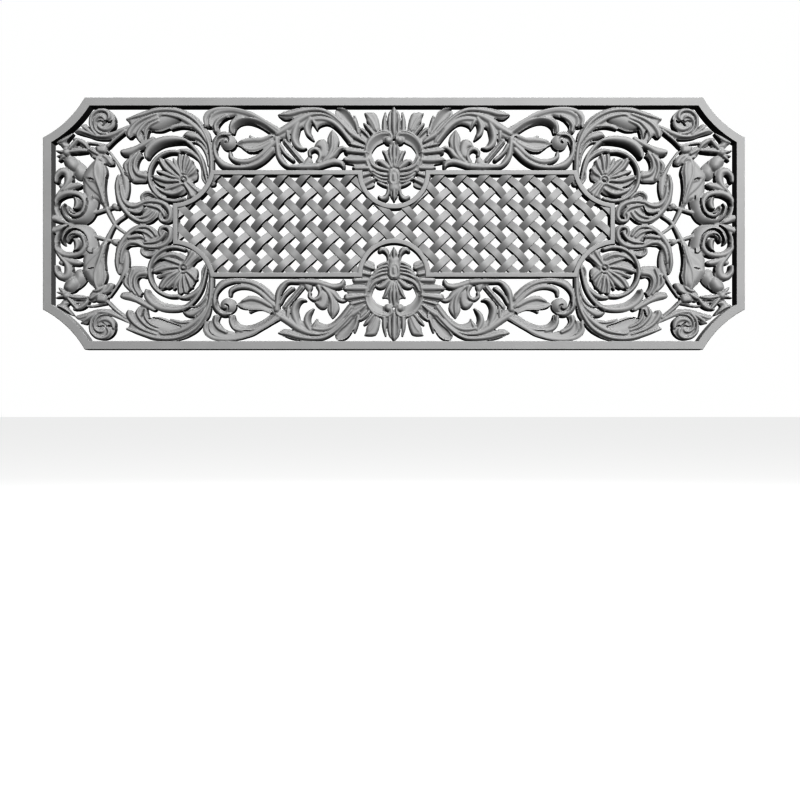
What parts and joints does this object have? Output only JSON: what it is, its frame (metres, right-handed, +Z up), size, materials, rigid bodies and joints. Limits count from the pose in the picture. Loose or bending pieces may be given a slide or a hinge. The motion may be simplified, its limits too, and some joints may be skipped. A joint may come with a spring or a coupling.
{
  "type": "carved openwork panel",
  "caption": "Long openwork panel with scrolling leaves round a woven lattice, in a plain frame with hollowed corners.",
  "frame": {"origin": "on the flat back, in the middle of the top bar of the frame, where the panel is fixed", "axes": "+X along the panel, +Z up its height, +Y out of the flat back; the carved front faces -Y"},
  "size_m": [1, 0.018, 0.359],
  "materials": {
    "painted_board": "satin"
  },
  "bodies": {
    "root": {"carved_panel": "painted_board"}
  },
  "joints": []
}
